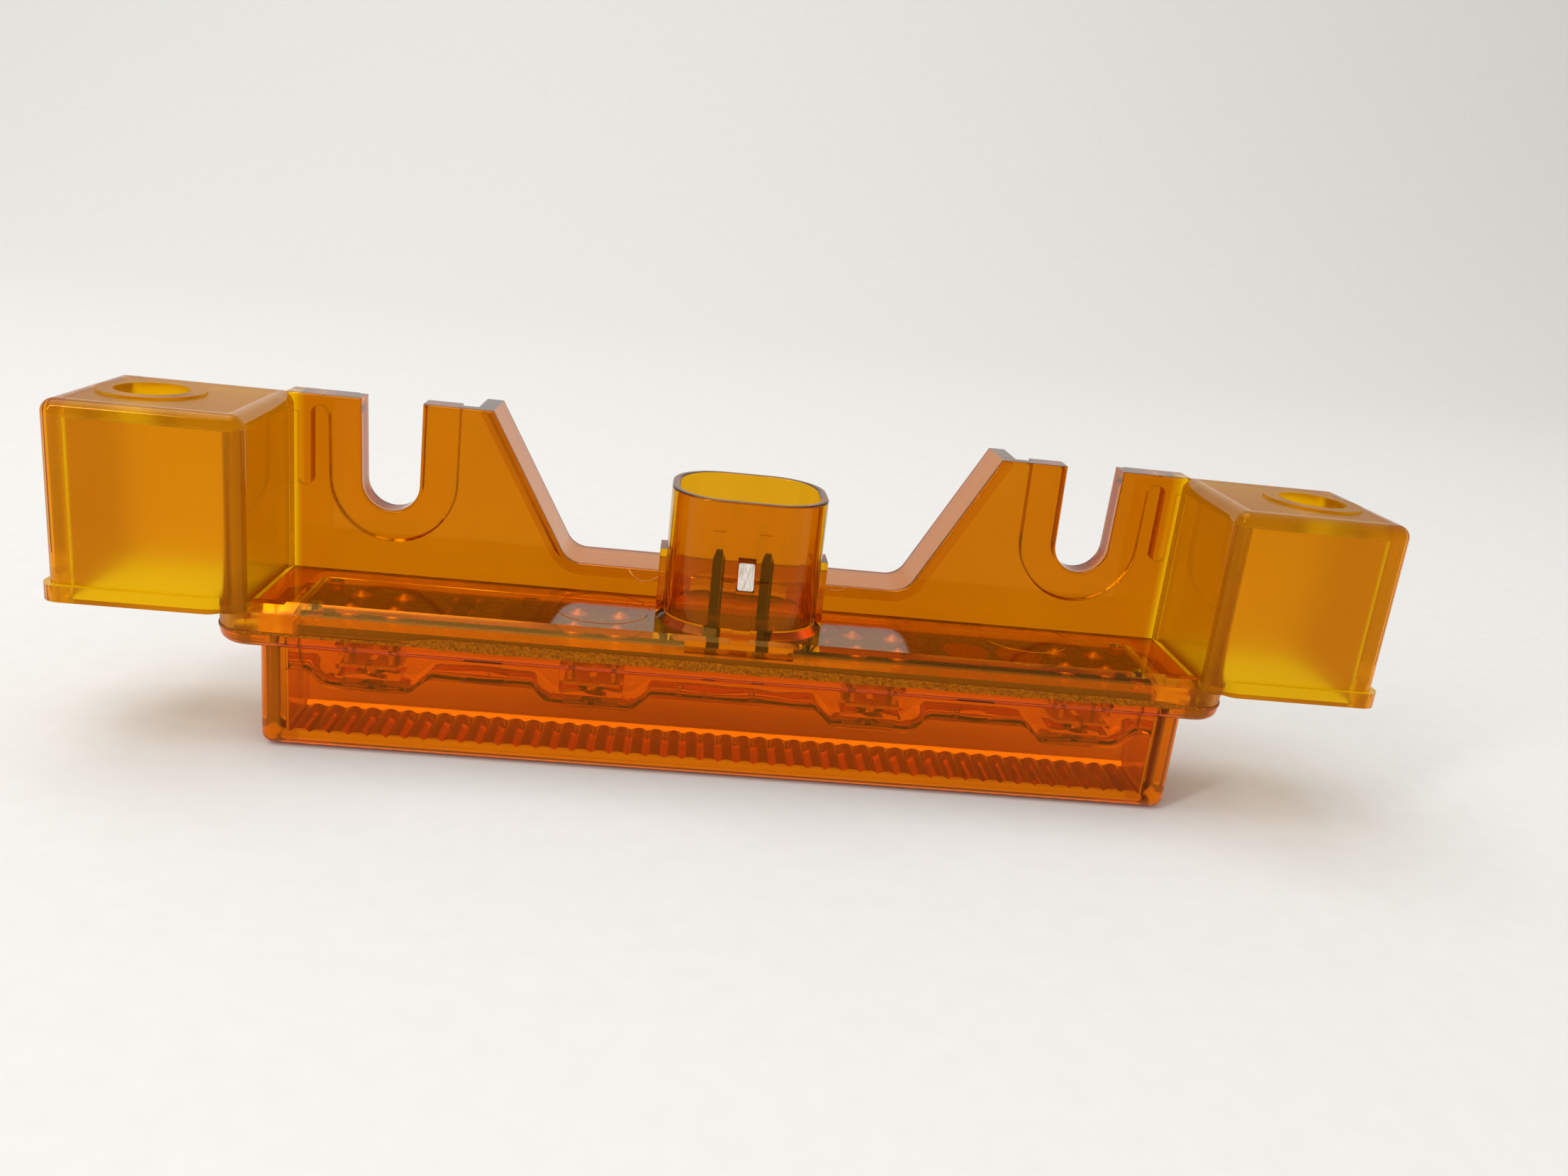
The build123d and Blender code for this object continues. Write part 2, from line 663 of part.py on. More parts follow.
def main():
    save("housing", make_housing())
    save("lens", make_lens())
    save("weld_bead", bead_ring())
    save("circuit_board", make_board())
    save("copper_discs", make_copper_discs())
    save("led_solder_joints", make_led_solder())
    terminal_solder = make_terminal_solder()
    save("terminal_solder_joints", terminal_solder)
    for name, sign in (("terminal_left", -1), ("terminal_right", 1)):
        save(name, terminal(sign * terminal_pitch / 2))

    buried = list(terminal_solder)
    buried += [terminal(sign * terminal_pitch / 2) for sign in (-1, 1)]
    for number, x in enumerate(led_xs, start=1):
        save(f"led_{number}_body", led_body(x))
        save(f"led_{number}_lead_frame", led_frame(x))
        save(f"led_{number}_reflector_cup", led_cup(x))
        save(f"led_{number}_chip", led_chip(x))
        half = led_side / 2
        buried.append(block(x - half, x + half, -half, half, led_face_z, led_face_z + led_height))
        buried += led_frame(x)

    ends = []
    for number, spot in enumerate(resistor_spots, start=1):
        body, caps = chip(spot, resistor_size, board_top_z)
        save(f"resistor_{number}", body)
        ends += caps
    for number, spot in enumerate(capacitor_spots, start=1):
        body, caps = chip(spot, capacitor_size, board_top_z)
        save(f"capacitor_{number}", body)
        ends += caps
    save("chip_end_caps", ends)
    driver_x, driver_y = driver_spot
    length, width, height = driver_size
    save("driver_chip", block(driver_x - length / 2, driver_x + length / 2, driver_y - width / 2,
                              driver_y + width / 2, board_top_z, board_top_z + height))

    legs = []
    for name, x in (("reverse_diode", diode_x), ("surge_suppressor", suppressor_x)):
        body, pair = underside_diode(x)
        save(name, body)
        legs += pair
        buried += [body] + pair
    save("diode_legs", legs)
    save("potting_compound", make_potting(buried))


main()
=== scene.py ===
"""Looks for a sealed amber LED warning lamp: two polished amber mouldings round a green board."""
import math
import random

import bpy
from mathutils import Euler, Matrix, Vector, noise


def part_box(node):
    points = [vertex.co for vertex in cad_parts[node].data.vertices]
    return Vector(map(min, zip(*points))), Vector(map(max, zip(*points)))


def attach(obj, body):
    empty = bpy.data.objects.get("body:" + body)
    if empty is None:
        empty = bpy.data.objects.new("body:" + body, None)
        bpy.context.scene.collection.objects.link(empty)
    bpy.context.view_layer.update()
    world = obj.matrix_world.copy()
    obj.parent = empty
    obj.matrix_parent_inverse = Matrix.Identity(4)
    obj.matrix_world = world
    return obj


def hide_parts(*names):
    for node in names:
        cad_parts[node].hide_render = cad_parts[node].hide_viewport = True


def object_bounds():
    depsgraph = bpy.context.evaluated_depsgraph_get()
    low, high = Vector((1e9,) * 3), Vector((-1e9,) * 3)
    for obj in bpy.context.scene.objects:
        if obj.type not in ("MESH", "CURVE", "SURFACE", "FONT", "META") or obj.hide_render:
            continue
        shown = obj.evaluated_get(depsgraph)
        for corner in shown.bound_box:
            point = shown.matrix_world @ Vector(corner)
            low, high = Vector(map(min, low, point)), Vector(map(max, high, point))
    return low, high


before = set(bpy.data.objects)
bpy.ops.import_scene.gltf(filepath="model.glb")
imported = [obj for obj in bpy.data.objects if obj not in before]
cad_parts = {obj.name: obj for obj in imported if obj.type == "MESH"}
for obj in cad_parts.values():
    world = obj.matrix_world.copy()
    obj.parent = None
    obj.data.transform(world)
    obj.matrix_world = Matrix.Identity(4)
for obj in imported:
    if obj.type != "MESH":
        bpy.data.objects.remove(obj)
cad_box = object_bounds()
MM = 0.001

# ---- places read from the frame, in metres ----
board_low, board_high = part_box("circuit_board")
bead_low, bead_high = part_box("weld_bead")
potting_low, potting_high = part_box("potting_compound")
led_boxes = [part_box(f"led_{number}_body") for number in range(1, 5)]
led_xs = [(low.x + high.x) / 2 for low, high in led_boxes]
weld_z = (bead_low.z + bead_high.z) / 2
plate_front = 10.4 * MM
box_inner = 55.8 * MM
box_outer = cad_box[1].x
box_front = -8.0 * MM
flange_front = -7.0 * MM
deck_top = 18.4 * MM
deck_back = 9.85 * MM
shroud_side = 10.15 * MM
shroud_back = 12.1 * MM
lead_half_pitch = 2.54 * MM
lens_floor = 1.5 * MM


# ---- small helpers ----
def colour(text):
    """Linear RGBA from an sRGB hex value."""
    parts = [int(text[i:i + 2], 16) / 255 for i in (0, 2, 4)]
    linear = [c / 12.92 if c <= 0.04045 else ((c + 0.055) / 1.055) ** 2.4 for c in parts]
    return (*linear, 1.0)


def add(tree, kind, settings=None, **sockets):
    """Add a node. settings are its properties; sockets are its inputs, plain values or links."""
    node = tree.nodes.new("ShaderNode" + kind)
    for key, value in (settings or {}).items():
        setattr(node, key, value)
    for key, value in sockets.items():
        name = key.replace("_", " ")
        socket = node.inputs[int(name[1:])] if name[1:].isdigit() else node.inputs[name]
        if isinstance(value, bpy.types.NodeSocket):
            tree.links.new(value, socket)
        else:
            socket.default_value = value
    return node


def new_material(name):
    """An empty material, its tree, and the object coordinates in metres."""
    material = bpy.data.materials.new(name)
    material.use_nodes = True
    tree = material.node_tree
    tree.nodes.clear()
    place = add(tree, "TexCoord").outputs["Object"]
    return material, tree, place


def finish_material(tree, shader, volume=None):
    out = add(tree, "OutputMaterial", Surface=shader.outputs[0])
    if volume is not None:
        tree.links.new(volume.outputs[0], out.inputs["Volume"])


def per_mm(size_mm):
    """Texture scale for features of about this size."""
    return 1 / (size_mm * MM)


def blend(tree, factor, low, high):
    """A colour between two hex values."""
    return add(tree, "Mix", {"data_type": "RGBA"}, Factor=factor, i6=colour(low), i7=colour(high)).outputs[2]


def step(tree, value, start, end, low=0.0, high=1.0):
    """A value carried from one range to another, held at its ends."""
    return add(tree, "MapRange", None, Value=value, From_Min=start, From_Max=end,
               To_Min=low, To_Max=high).outputs[0]


def both(tree, first, second):
    return add(tree, "Math", {"operation": "MULTIPLY"}, i0=first, i1=second).outputs[0]


# ---- clear plastics ----
amber_sheen = "FFB840"      # what a face seen square on mirrors; a grazing one mirrors white


def scratched_normal(tree, place, strength):
    """Slow ripple from the mould and fine scuffs."""
    ripple = add(tree, "TexNoise", Vector=place, Scale=per_mm(7.0), Detail=2.0).outputs["Fac"]
    scuff = add(tree, "TexNoise", Vector=place, Scale=per_mm(0.5), Detail=4.0, Roughness=0.65).outputs["Fac"]
    height = add(tree, "Math", {"operation": "MULTIPLY_ADD"}, i0=ripple, i1=6.0, i2=scuff).outputs[0]
    return add(tree, "Bump", None, Height=height, Strength=strength, Distance=0.02 * MM).outputs[0], scuff


def housing_material():
    """Polycarbonate, tinted amber, moulded in a polished tool: deep gloss. The tool's cores for the end
    boxes were left matt, so the boxes look like frosted yellow glass, paler than the plate. The deck and
    the thin plug shroud are paler too. The flange's front edge has a painted glow: less clear and bright
    orange, standing in for light that has run through the plastic to it."""
    material, tree, place = new_material("amber_polycarbonate_polished")
    normal, scuff = scratched_normal(tree, place, 0.12)
    axes = add(tree, "SeparateXYZ", None, Vector=place)
    across = add(tree, "Math", {"operation": "ABSOLUTE"}, i0=axes.outputs["X"]).outputs[0]
    in_box = step(tree, across, box_inner - 0.6 * MM, box_inner + 0.2 * MM)
    core_x = both(tree, step(tree, across, box_inner + 1.7 * MM, box_inner + 1.9 * MM),
                  step(tree, across, box_outer - 2.5 * MM, box_outer - 2.7 * MM))
    core_y = both(tree, step(tree, axes.outputs["Y"], box_front + 1.7 * MM, box_front + 1.9 * MM),
                  step(tree, axes.outputs["Y"], plate_front + 0.3 * MM, plate_front + 0.1 * MM))
    core = both(tree, core_x, core_y)
    blotch = add(tree, "TexNoise", Vector=place, Scale=per_mm(18.0), Detail=3.0).outputs["Fac"]
    sheet = blend(tree, blotch, "C66A1A", "D4802A")
    box = blend(tree, blotch, "F0BA3E", "FAC956")
    shroud = blend(tree, blotch, "E0A030", "ECB448")
    above_deck = step(tree, axes.outputs["Z"], deck_top - 0.2 * MM, deck_top + 0.4 * MM)
    around_plug = step(tree, axes.outputs["Y"], shroud_back + 0.2 * MM, shroud_back - 0.2 * MM)
    beside_plug = step(tree, across, shroud_side + 0.25 * MM, shroud_side - 0.25 * MM)
    near_plug = both(tree, beside_plug, both(tree, above_deck, around_plug))
    deck = blend(tree, blotch, "EEA434", "F6B448")
    in_deck = both(tree, step(tree, axes.outputs["Z"], deck_top + 0.2 * MM, deck_top - 0.2 * MM),
                   step(tree, axes.outputs["Y"], deck_back + 0.25 * MM, deck_back - 0.25 * MM))
    plate = add(tree, "Mix", {"data_type": "RGBA"}, Factor=in_deck, i6=sheet, i7=deck).outputs[2]
    wall = add(tree, "Mix", {"data_type": "RGBA"}, Factor=near_plug, i6=plate, i7=shroud).outputs[2]
    body = add(tree, "Mix", {"data_type": "RGBA"}, Factor=in_box, i6=wall, i7=box).outputs[2]
    scuffed = step(tree, scuff, 0.5, 0.8, 0.015, 0.14)
    gloss = add(tree, "Mix", None, Factor=in_deck, i2=scuffed, i3=0.07).outputs[0]
    rough = add(tree, "Mix", None, Factor=core, i2=gloss, i3=0.42).outputs[0]
    # Painted glow: the flange's front face is made less clear and bright orange (F8820C), standing in for
    # light piped through the plastic to that edge.
    flange_front_painted_glow = both(tree, step(tree, axes.outputs["Y"], flange_front + 0.35 * MM, flange_front + 0.1 * MM),
                   step(tree, across, box_inner - 1.0 * MM, box_inner - 1.3 * MM))
    clear = add(tree, "Mix", None, Factor=flange_front_painted_glow, i2=0.99, i3=0.8).outputs[0]
    tint = add(tree, "Mix", {"data_type": "RGBA"}, Factor=flange_front_painted_glow, i6=body, i7=colour("F8820C")).outputs[2]
    shader = add(tree, "BsdfPrincipled", None, Base_Color=tint, Roughness=rough, IOR=1.585,
                 Transmission_Weight=clear, Specular_Tint=colour(amber_sheen), Normal=normal)
    volume = add(tree, "VolumeAbsorption", None, Color=colour("FFFD00"), Density=1500.0)
    finish_material(tree, shader, volume)
    return material


def lens_material():
    """The same polycarbonate in a deeper batch: burnt orange. The end walls and the lower edge have a painted
    glow: less clear and bright orange, standing in for light that runs along the plastic to them."""
    material, tree, place = new_material("amber_polycarbonate_lens")
    normal, scuff = scratched_normal(tree, place, 0.14)
    blotch = add(tree, "TexNoise", Vector=place, Scale=per_mm(14.0), Detail=3.0).outputs["Fac"]
    body = blend(tree, blotch, "EE9028", "F8A436")
    gloss = step(tree, scuff, 0.5, 0.8, 0.02, 0.16)
    axes = add(tree, "SeparateXYZ", None, Vector=place)
    across = add(tree, "Math", {"operation": "ABSOLUTE"}, i0=axes.outputs["X"]).outputs[0]
    # Painted glow: the end walls and the lower edge are made less clear and bright orange (FF8C10), standing
    # in for light that runs along the plastic to them.
    end_wall_painted_glow = step(tree, across, potting_high.x + 0.1 * MM, potting_high.x + 0.6 * MM)
    low_edge_painted_glow = step(tree, axes.outputs["Z"], 1.3 * MM, 0.7 * MM)
    edge = add(tree, "Math", {"operation": "MAXIMUM"}, i0=end_wall_painted_glow, i1=low_edge_painted_glow).outputs[0]
    clear = add(tree, "Mix", None, Factor=edge, i2=0.99, i3=0.74).outputs[0]
    tint = add(tree, "Mix", {"data_type": "RGBA"}, Factor=edge, i6=body, i7=colour("FF8C10")).outputs[2]
    shader = add(tree, "BsdfPrincipled", None, Base_Color=tint, Roughness=gloss, IOR=1.585,
                 Transmission_Weight=clear, Specular_Tint=colour(amber_sheen), Normal=normal)
    volume = add(tree, "VolumeAbsorption", None, Color=colour("FFFC00"), Density=1500.0)
    finish_material(tree, shader, volume)
    return material


def clear_resin(name, ior, tint="FFFFFF", absorbed="FFF0D0", density=40.0, rough=0.02):
    """Cast resin: water-clear, faintly yellow in depth, wavy at its free surface."""
    material, tree, place = new_material(name)
    wave = add(tree, "TexNoise", Vector=place, Scale=per_mm(3.0), Detail=2.0).outputs["Fac"]
    haze = step(tree, wave, 0.3, 0.7, rough * 0.6, rough * 1.6)
    normal = add(tree, "Bump", None, Height=wave, Strength=0.1, Distance=0.05 * MM).outputs[0]
    shader = add(tree, "BsdfPrincipled", None, Base_Color=colour(tint), Roughness=haze, IOR=ior,
                 Transmission_Weight=1.0, Normal=normal)
    volume = add(tree, "VolumeAbsorption", None, Color=colour(absorbed), Density=density)
    finish_material(tree, shader, volume)
    return material


def flash_material():
    """Polycarbonate that melted and froze at the weld: torn, matt, tan where it is thin."""
    material, tree, place = new_material("torn_weld_flash")
    crumb = add(tree, "TexNoise", Vector=place, Scale=per_mm(0.35), Detail=5.0, Roughness=0.7).outputs["Fac"]
    tint = blend(tree, step(tree, crumb, 0.35, 0.65), "9A4200", "F08C10")
    normal = add(tree, "Bump", None, Height=crumb, Strength=0.6, Distance=0.12 * MM).outputs[0]
    rough = step(tree, crumb, 0.3, 0.7, 0.35, 0.7)
    shader = add(tree, "BsdfPrincipled", None, Base_Color=tint, Roughness=rough, IOR=1.585,
                 Transmission_Weight=0.5, Specular_Tint=colour(amber_sheen), Normal=normal)
    finish_material(tree, shader)
    return material


# ---- opaque finishes ----
def solid(name, low, high, rough, grain_mm, metallic=0.0, bump=0.2):
    """An opaque surface with mottled colour, grain and uneven gloss."""
    material, tree, place = new_material(name)
    grain = add(tree, "TexNoise", Vector=place, Scale=per_mm(grain_mm), Detail=4.0).outputs["Fac"]
    normal = add(tree, "Bump", None, Height=grain, Strength=bump, Distance=0.05 * MM).outputs[0]
    shader = add(tree, "BsdfPrincipled", None, Base_Color=blend(tree, step(tree, grain, 0.3, 0.7), low, high),
                 Roughness=step(tree, grain, 0.3, 0.7, rough * 0.75, rough * 1.3),
                 Metallic=metallic, Normal=normal)
    finish_material(tree, shader)
    return material


def board_material():
    """Solder mask over copper: dark green, a shade paler and raised where a track runs below."""
    material, tree, place = new_material("solder_mask_green")
    tracks = add(tree, "TexBrick", {"offset": 0.35, "squash": 0.6, "squash_frequency": 3}, Vector=place,
                 Scale=per_mm(1.0), Mortar_Size=0.35, Mortar_Smooth=0.1, Brick_Width=7.0, Row_Height=1.9)
    under = tracks.outputs["Fac"]
    grain = add(tree, "TexNoise", Vector=place, Scale=per_mm(0.8), Detail=3.0).outputs["Fac"]
    base = blend(tree, grain, "0E3018", "184222")
    pour = blend(tree, grain, "205A30", "2C6C3C")
    tint = add(tree, "Mix", {"data_type": "RGBA"}, Factor=under, i6=pour, i7=base).outputs[2]
    normal = add(tree, "Bump", {"invert": True}, Height=under, Strength=0.4, Distance=0.04 * MM).outputs[0]
    gloss = step(tree, grain, 0.3, 0.7, 0.2, 0.34)
    shader = add(tree, "BsdfPrincipled", None, Base_Color=tint, Roughness=gloss, Normal=normal)
    finish_material(tree, shader)
    return material


def dress(names, material):
    for name in names:
        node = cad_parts[name]
        node.data.materials.clear()
        node.data.materials.append(material)


def dress_nodes():
    dress(["housing"], housing_material())
    dress(["lens"], lens_material())
    dress(["circuit_board"], board_material())
    dress(["copper_discs"], solid("gold_flashed_copper", "B8762E", "E0A456", 0.32, 0.8, 1.0))
    dress(["terminal_solder_joints"], solid("dull_solder", "B8B0A0", "D8D2C4", 0.3, 0.5, 1.0))
    dress(["terminal_left", "terminal_right"],
          solid("tarnished_brass", "140D06", "2E2010", 0.5, 0.4, 0.6, 0.4))
    black = solid("moulding_compound_black", "12100E", "26231E", 0.5, 0.3)
    dress(["driver_chip", "reverse_diode", "surge_suppressor"], black)
    dress([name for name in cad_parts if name.startswith("resistor")], black)
    dress([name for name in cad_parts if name.startswith("capacitor")],
          solid("ceramic_tan", "6E4E30", "8C6840", 0.5, 0.4))
    dress(["chip_end_caps", "diode_legs"], solid("tin_plate", "A8A6A0", "D0CEC8", 0.25, 0.3, 1.0))
    silver = solid("silver_plated_copper", "C4C0B6", "EAE6DC", 0.2, 0.4, 1.0)
    die = solid("die_with_yellow_gel", "B88A1C", "E4B83C", 0.45, 0.2)
    for number in range(1, 5):
        dress([f"led_{number}_lead_frame", f"led_{number}_reflector_cup"], silver)
        dress([f"led_{number}_chip"], die)


# ---- modelling helpers ----
def pick(piece):
    """Make one object the only one selected, outside edit mode."""
    if bpy.context.mode != "OBJECT":
        bpy.ops.object.mode_set(mode="OBJECT")
    bpy.ops.object.select_all(action="DESELECT")
    piece.select_set(True)
    bpy.context.view_layer.objects.active = piece


def choose(piece, kind, test):
    """Select the vertices, edges or faces whose place passes a test, and open the piece for editing."""
    pick(piece)
    bpy.ops.object.mode_set(mode="EDIT")
    bpy.ops.mesh.select_mode(type=kind)
    bpy.ops.mesh.select_all(action="DESELECT")
    bpy.ops.object.mode_set(mode="OBJECT")
    mesh = piece.data
    if kind == "FACE":
        for face in mesh.polygons:
            face.select = test(face.center, face.normal)
    elif kind == "EDGE":
        for edge in mesh.edges:
            first, second = (mesh.vertices[index].co for index in edge.vertices)
            edge.select = test((first + second) / 2, (second - first).normalized())
    else:
        for vertex in mesh.vertices:
            vertex.select = test(vertex.co, vertex.normal)
    bpy.ops.object.mode_set(mode="EDIT")


def done(piece, name, material, body="root"):
    """Close a piece: place in its mesh, normals outwards, smooth with sharp corners, and attached."""
    pick(piece)
    bpy.ops.object.transform_apply(location=True, rotation=True, scale=True)
    bpy.ops.object.mode_set(mode="EDIT")
    bpy.ops.mesh.select_all(action="SELECT")
    bpy.ops.mesh.normals_make_consistent(inside=False)
    bpy.ops.object.mode_set(mode="OBJECT")
    bpy.ops.object.shade_smooth_by_angle(angle=math.radians(40))
    piece.name = name
    piece.data.name = name
    piece.data.materials.clear()
    piece.data.materials.append(material)
    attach(piece, body)
    return piece


def start_box(low, high):
    """A box between two corners, with its place in its mesh."""
    centre = (low + high) / 2
    bpy.ops.object.select_all(action="DESELECT")
    bpy.ops.mesh.primitive_cube_add(size=1, location=centre, scale=high - low)
    piece = bpy.context.object
    bpy.ops.object.transform_apply(location=True, rotation=True, scale=True)
    return piece


# ---- LEDs and compound ----
def make_led_packages():
    """Clear epoxy packages, cast round the frame, with a shallow step at the board's side."""
    epoxy = clear_resin("clear_epoxy", 1.09, "FFFCF4")
    for number, (low, high) in enumerate(led_boxes, start=1):
        piece = start_box(low, high)
        choose(piece, "EDGE", lambda place, way: abs(way.z) > 0.9)
        bpy.ops.mesh.bevel(offset=0.5 * MM, segments=4)
        choose(piece, "FACE", lambda place, normal: normal.z > 0.9)
        bpy.ops.mesh.inset(thickness=0.35 * MM)
        bpy.ops.transform.translate(value=(0, 0, -0.25 * MM))
        choose(piece, "FACE", lambda place, normal: normal.z < -0.9)
        bpy.ops.mesh.bevel(offset=0.2 * MM, segments=3)
        done(piece, f"led_{number}_epoxy", epoxy)
        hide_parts(f"led_{number}_body")


def surface_height(x, y):
    """Free surface of the compound: level between the LEDs, sagging round each one, and creeping
    down the lens's walls."""
    level = potting_level
    for led_x in led_xs:
        reach = abs(x - led_x) - 4.3 * MM
        share = min(max(1 - reach / (3.0 * MM), 0), 1)
        level -= (potting_level - potting_led_level) * share * share * (3 - 2 * share)
    to_wall = (potting_high.y - abs(y)) / MM
    creep = 0.75 * MM * math.exp(-max(to_wall, 0) / 0.7)
    ripple = 0.16 * MM * noise.noise(Vector((x, y, 0)) / (5 * MM)) * min(to_wall, 1)
    return level - creep + ripple


potting_led_level = 7.95 * MM
potting_level = 9.95 * MM


def make_compound():
    """Clear compound that fills the lens up to the board, with its poured surface below."""
    resin = clear_resin("clear_silicone_resin", 1.41, "FFFDF6", "FFE9C0", 60.0)
    size = potting_high - potting_low
    bpy.ops.object.select_all(action="DESELECT")
    bpy.ops.mesh.primitive_grid_add(x_subdivisions=260, y_subdivisions=24, size=1)
    piece = bpy.context.object
    bpy.ops.transform.resize(value=(size.x, size.y, 1))
    bpy.ops.object.transform_apply(location=True, rotation=True, scale=True)
    for vertex in piece.data.vertices:
        vertex.co.z = surface_height(vertex.co.x, vertex.co.y)
    bpy.ops.object.mode_set(mode="EDIT")
    bpy.ops.mesh.select_all(action="SELECT")
    bpy.ops.mesh.extrude_region_move(TRANSFORM_OT_translate={"value": (0, 0, 5 * MM)})
    bpy.ops.transform.resize(value=(1, 1, 0), center_override=(0, 0, potting_high.z))
    done(piece, "compound_fill", resin)
    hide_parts("potting_compound")


def make_bubbles():
    """Air bubbles caught under the compound's skin, each a little flattened."""
    air = clear_resin("air_in_resin", 0.71, density=0.0)
    spots = ((-6.5, -3.2, 10.6, 0.42), (-3.6, -3.4, 10.25, 0.22), (2.2, -3.3, 10.5, 0.33),
             (27.5, -3.2, 10.3, 0.3), (-29.0, -3.4, 10.4, 0.18), (31.2, -3.1, 10.5, 0.24))
    bpy.ops.object.select_all(action="DESELECT")
    for index, (x, y, z, radius) in enumerate(spots):
        bpy.ops.mesh.primitive_uv_sphere_add(segments=20, ring_count=12, radius=radius * MM,
                                             location=Vector((x, y, z)) * MM, scale=(1.15, 1.0, 0.88))
        if index == 0:
            piece = bpy.context.object
            bpy.ops.object.transform_apply(location=True, rotation=True, scale=True)
            bpy.ops.object.mode_set(mode="EDIT")
    done(piece, "trapped_bubbles", air)


# ---- weld flash ----
def ragged(x, z, size_mm, row=0.0):
    """Noise from -1 to 1 that tears an edge, coarse and fine together."""
    place = Vector((x / (size_mm * MM), z / (size_mm * MM), row))
    return 0.65 * noise.noise(place) + 0.35 * noise.noise(place * 3.1)


def make_weld_ring(material):
    """Thin ring of plastic squeezed out all round where the lens was welded on."""
    low = Vector((bead_low.x, bead_low.y, weld_z - 0.17 * MM))
    high = Vector((bead_high.x, bead_high.y, weld_z + 0.17 * MM))
    piece = start_box(low, high)
    choose(piece, "EDGE", lambda place, way: abs(way.z) > 0.9)
    bpy.ops.mesh.bevel(offset=4.1 * MM, segments=12)
    choose(piece, "FACE", lambda place, normal: abs(normal.z) > 0.9)
    bpy.ops.mesh.inset(thickness=0.95 * MM)
    bpy.ops.mesh.delete(type="FACE")
    bpy.ops.mesh.select_mode(type="EDGE")
    bpy.ops.mesh.select_non_manifold()
    bpy.ops.mesh.bridge_edge_loops()
    choose(piece, "EDGE", lambda place, way: abs(way.x) > 0.99)
    bpy.ops.mesh.subdivide(number_cuts=299)
    bpy.ops.object.mode_set(mode="OBJECT")
    for vertex in piece.data.vertices:
        tear = ragged(vertex.co.x + vertex.co.y, vertex.co.z, 0.8)
        vertex.co.z += 0.1 * MM * tear
        vertex.co.y += 0.05 * MM * (tear - 0.65) * (-1 if vertex.co.y < 0 else 1)
    done(piece, "weld_flash_ring", material)
    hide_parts("weld_bead")


def make_weld_smear(material):
    """Melt that was smeared up the flange's front and tore: ragged above at one end and below at
    the other."""
    left, right = -39 * MM, 56 * MM
    low_z, high_z = weld_z - 0.32 * MM, weld_z + 1.05 * MM
    face_y = -7.0 * MM
    piece = start_box(Vector((left, face_y - 0.07 * MM, low_z)), Vector((right, face_y - 0.01 * MM, high_z)))
    choose(piece, "EDGE", lambda place, way: abs(way.x) > 0.99)
    bpy.ops.mesh.subdivide(number_cuts=639)
    choose(piece, "EDGE", lambda place, way: abs(way.z) > 0.99)
    bpy.ops.mesh.subdivide(number_cuts=5)
    bpy.ops.object.mode_set(mode="OBJECT")
    for vertex in piece.data.vertices:
        x, y, z = vertex.co
        along = (x - left) / (right - left)
        up = (z - low_z) / (high_z - low_z)
        top = high_z - 0.55 * MM * along + 0.16 * MM * ragged(x, 0, 0.55) + 0.12 * MM * ragged(x, 0, 6.0, 2)
        bottom = low_z + (0.05 + 0.3 * along) * MM * ragged(x, 0, 0.45, 5) + 0.1 * MM * ragged(x, 0, 4.0, 8)
        end = min(along, 1 - along) * (right - left) / (4 * MM)
        middle = (top + bottom) / 2
        shrink = min(max(end, 0.03), 1)
        vertex.co.z = middle + (bottom + (top - bottom) * up - middle) * shrink
        if y < face_y - 0.04 * MM:
            vertex.co.y = y - 0.05 * MM * max(ragged(x, z, 0.7, 3), 0)
    done(piece, "weld_flash_smear", material)


# ---- board details ----
def add_tiles(spots, height):
    """Flat tiles laid on the board as one mesh. A spot is x, y, length and width in millimetres."""
    bpy.ops.object.select_all(action="DESELECT")
    piece = None
    for x, y, length, width in spots:
        place = Vector((x * MM, y * MM, board_high.z + height * MM / 2 + 0.004 * MM))
        bpy.ops.mesh.primitive_cube_add(size=1, location=place, scale=(length * MM, width * MM, height * MM))
        if piece is None:
            piece = bpy.context.object
            bpy.ops.object.transform_apply(location=True, rotation=True, scale=True)
            bpy.ops.object.mode_set(mode="EDIT")
    return piece


def make_board_legend():
    """Short printed dashes in broken rows beside the driver chip: a pattern, not lettering."""
    draw = random.Random(11)
    spots = []
    for row in range(6):
        x = -37.0 + draw.uniform(0, 2)
        while x < -9.5:
            length = draw.uniform(0.5, 1.5)
            if draw.random() < 0.72:
                spots.append((x + length / 2, 5.6 - 0.55 * row + draw.uniform(-0.05, 0.05), length, 0.16))
            x += length + draw.uniform(0.35, 0.8)
    piece = add_tiles(spots, 0.02)
    done(piece, "board_legend", solid("legend_ink_black", "0A0D08", "161A12", 0.6, 0.3))


def make_pads():
    """Round tinned pads under the LED joints, edges broken."""
    bpy.ops.object.select_all(action="DESELECT")
    half = lead_half_pitch
    thick = 0.05 * MM
    piece = None
    for x in led_xs:
        for dx in (-half, half):
            for dy in (-half, half):
                place = Vector((x + dx, dy, board_high.z + thick / 2 + 0.003 * MM))
                bpy.ops.mesh.primitive_cylinder_add(vertices=40, radius=1.32 * MM, depth=thick,
                                                    location=place)
                if piece is None:
                    piece = bpy.context.object
                    bpy.ops.object.transform_apply(location=True, rotation=True, scale=True)
                    bpy.ops.object.mode_set(mode="EDIT")
    choose(piece, "EDGE", lambda place, way: place.z > board_high.z + thick * 0.9)
    bpy.ops.mesh.bevel(offset=0.015 * MM, segments=2)
    done(piece, "led_pads", solid("tinned_copper_pad", "B98A70", "DDB39C", 0.3, 0.5, 1.0))


